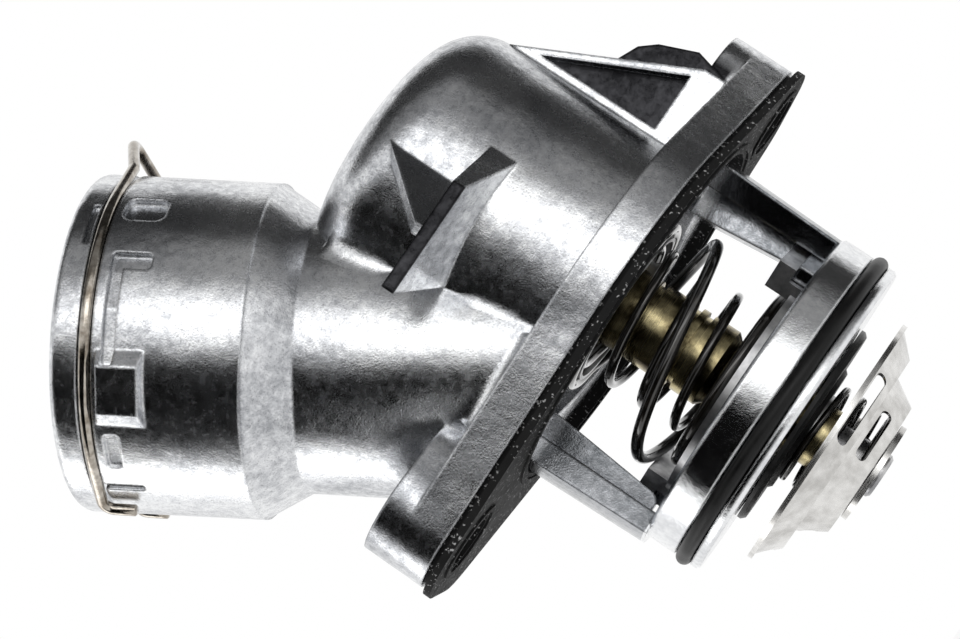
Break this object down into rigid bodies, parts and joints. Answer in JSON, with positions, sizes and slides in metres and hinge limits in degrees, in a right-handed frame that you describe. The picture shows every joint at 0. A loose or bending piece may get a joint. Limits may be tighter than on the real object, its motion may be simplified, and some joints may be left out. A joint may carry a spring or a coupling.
{
  "type": "engine thermostat",
  "caption": "cast aluminium coolant elbow with a domed body, clip-in hose socket, bolted flange and gasket, carrying a sprung wax-element valve with a bypass cup on a legged ring",
  "frame": {"origin": "on the insert's axis, in the plane of the flange's sealing face", "axes": "+Z out of the engine towards the dome, +X along the flange to its short end, -Y the side the picture shows"},
  "size_m": [0.1232, 0.0673, 0.1308],
  "materials": {
    "cast_aluminium": "die cast, lightly blasted, machined on ring and legs",
    "gasket_black": "matt speckled sheet",
    "rubber": "smooth moulded",
    "clip_wire": "drawn wire",
    "spring_black": "black oiled spring wire",
    "brass": "turned",
    "steel": "turned and ground",
    "stainless": "satin stamped sheet",
    "plate_black": "black coated stamping"
  },
  "bodies": {
    "housing": {"housing_casting": "cast_aluminium", "flange_gasket": "gasket_black", "ring_o_ring": "rubber", "socket_o_ring": "rubber", "piston_seat": "steel", "piston_pin": "steel", "spring_bridge": "steel", "main_spring": "spring_black", "inner_spring": "spring_black"},
    "element": {"element_guide": "brass", "wax_capsule": "brass", "main_valve_plate": "steel", "main_valve_seal": "rubber", "spring_cup": "steel", "ring_plate": "plate_black", "plate_clip": "steel", "bypass_rod": "steel", "bypass_washer": "stainless", "bypass_spring": "spring_black"},
    "bypass_valve": {"bypass_cup": "stainless"},
    "clip": {"hose_clip": "clip_wire"}
  },
  "joints": [
    {"name": "valve_lift", "type": "slide", "parent": "housing", "child": "element", "axis": [0, 0, -1], "range_m": [0, 0.008], "stiffness_N_per_m": 6000, "springref_m": -0.012, "deforming": ["main_spring", "inner_spring"]},
    {"name": "bypass_slide", "type": "slide", "parent": "element", "child": "bypass_valve", "axis": [0, 0, 1], "range_m": [0, 0.003], "stiffness_N_per_m": 800, "springref_m": -0.006, "deforming": ["bypass_spring"]},
    {"name": "clip_release", "type": "slide", "parent": "housing", "child": "clip", "axis": [0.8575, 0, 0.5144], "range_m": [0, 0.0035], "stiffness_N_per_m": 4000, "springref_m": -0.0005, "deforming": ["hose_clip"]}
  ]
}
